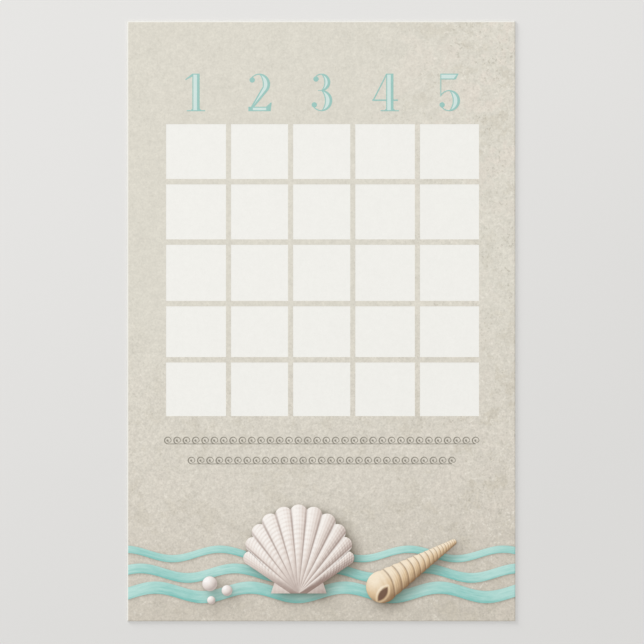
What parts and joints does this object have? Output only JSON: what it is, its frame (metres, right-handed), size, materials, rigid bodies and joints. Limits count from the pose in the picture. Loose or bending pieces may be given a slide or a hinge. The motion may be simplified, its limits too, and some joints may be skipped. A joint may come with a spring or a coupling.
{
  "type": "bingo card",
  "caption": "Flat bingo card: a sheet of card stock with a mottled sand print, an open grid of bare cells, teal heading figures, grey scroll lines and a printed seaside foot.",
  "frame": {"origin": "middle of the card's underside", "axes": "+X across the face to the right, +Y up the face towards the heading, +Z out of the printed face"},
  "size_m": [0.1396, 0.216, 0.0005],
  "materials": {
    "card_stock": "matte, faint eggshell texture",
    "sand_print": "matte print, mottled",
    "teal_line": "matte print",
    "teal_tint": "matte print",
    "grey_line": "matte print",
    "wave_print": "matte print",
    "scallop_print": "matte print",
    "groove_print": "matte print",
    "turret_print": "matte print",
    "suture_print": "matte print",
    "pearl_print": "matte print"
  },
  "bodies": {
    "root": {"card_stock": "card_stock", "ground_print": "sand_print", "numeral_1_line": "teal_line", "numeral_2_line": "teal_line", "numeral_3_line": "teal_line", "numeral_4_line": "teal_line", "numeral_5_line": "teal_line", "numeral_1_tint": "teal_tint", "numeral_2_tint": "teal_tint", "numeral_3_tint": "teal_tint", "numeral_4_tint": "teal_tint", "numeral_5_tint": "teal_tint", "upper_scroll": "grey_line", "lower_scroll": "grey_line", "lower_wave": "wave_print", "middle_wave": "wave_print", "upper_wave": "wave_print", "scallop_fan": "scallop_print", "scallop_grooves": "groove_print", "scallop_hinge": "scallop_print", "turret_whorls": "turret_print", "turret_sutures": "suture_print", "turret_mouth": "groove_print", "pearls": "pearl_print"}
  },
  "joints": []
}
